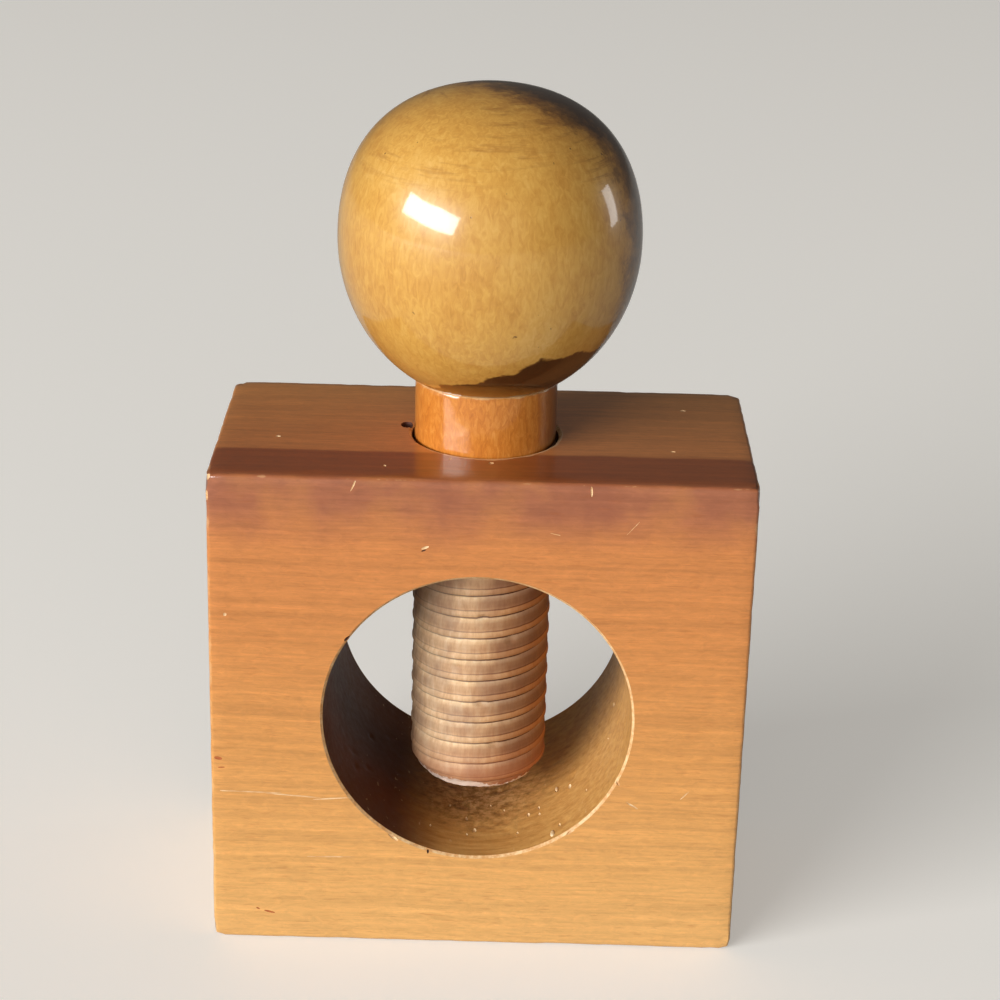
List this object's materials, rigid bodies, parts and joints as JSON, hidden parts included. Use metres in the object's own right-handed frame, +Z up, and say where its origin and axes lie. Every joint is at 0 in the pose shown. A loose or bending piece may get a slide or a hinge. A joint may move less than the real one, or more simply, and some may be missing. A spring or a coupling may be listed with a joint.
{
  "type": "screw nutcracker",
  "caption": "Wooden screw nutcracker: a ball-topped screw presses a nut held in the round chamber bored through a block",
  "frame": {"origin": "middle of the block's base, which is the middle of the bottom of the whole object's box", "axes": "+Z up along the screw, +Y through the nut chamber and away from the user, +X to the user's right"},
  "size_m": [0.09, 0.0502, 0.146],
  "materials": {
    "block_wood": "clear gloss lacquer over orange-brown fruitwood, worn at the edges",
    "screw_wood": "bare dull wood on the thread, clear lacquer on the neck",
    "knob_wood": "worn glossy clear lacquer over yellow-tan wood, with remains of dark stain",
    "dowel_wood": "bare beech dowel"
  },
  "bodies": {
    "block": {"block": "block_wood"},
    "screw_lift": {"knob_dowel": "dowel_wood"},
    "screw": {"screw": "screw_wood", "ball_knob": "knob_wood"}
  },
  "joints": [
    {"name": "screw_advance", "type": "slide", "parent": "block", "child": "screw_lift", "axis": [0, 0, 1], "range_m": [0, 0.044]},
    {"name": "screw_turn", "type": "hinge", "parent": "screw_lift", "child": "screw", "pos_m": [0, 0, 0.0969], "axis": [0, 0, 1], "range_deg": [0, 3960]}
  ],
  "couplings": [
    {"joint": "screw_advance", "follows": "screw_turn", "m_per_rad": 0.00063662}
  ]
}
